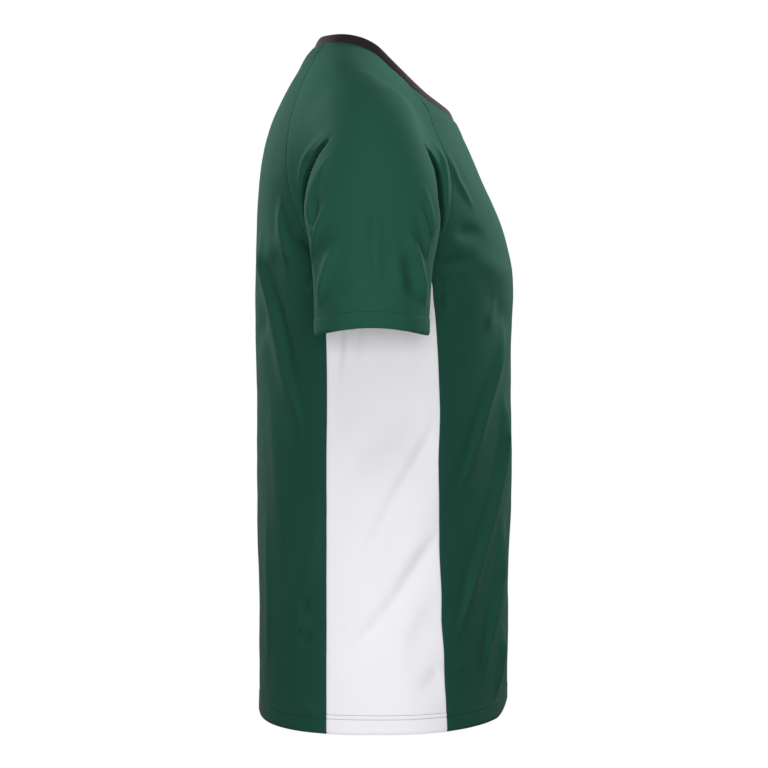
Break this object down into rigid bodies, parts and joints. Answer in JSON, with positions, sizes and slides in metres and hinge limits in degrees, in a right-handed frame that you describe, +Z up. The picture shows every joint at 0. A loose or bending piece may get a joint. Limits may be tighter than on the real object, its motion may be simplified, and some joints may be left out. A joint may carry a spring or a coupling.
{
  "type": "rugby training jersey",
  "caption": "Short-sleeved raglan training jersey in worn, hollow form: crew neck with a narrow rib band, contrast side panels from underarm to hem, open neck, cuffs and hem.",
  "frame": {"origin": "middle of the neck opening at the height of the shoulders' highest points, where the wearer's shoulders carry the jersey", "axes": "+Z up; the wearer faces -Y, so +X is the wearer's left; the jersey is mirrored across the plane x = 0"},
  "size_m": [0.602, 0.2666, 0.6898],
  "materials": {
    "green_knit": "smooth polyester knit with a low sheen, bottle green",
    "white_knit": "smooth polyester knit, cool white",
    "neck_rib": "matte fine rib knit, near black"
  },
  "bodies": {
    "root": {"front": "green_knit", "back": "green_knit", "sleeve_left": "green_knit", "sleeve_right": "green_knit", "side_panel_left": "white_knit", "side_panel_right": "white_knit", "collar": "neck_rib"}
  },
  "joints": []
}
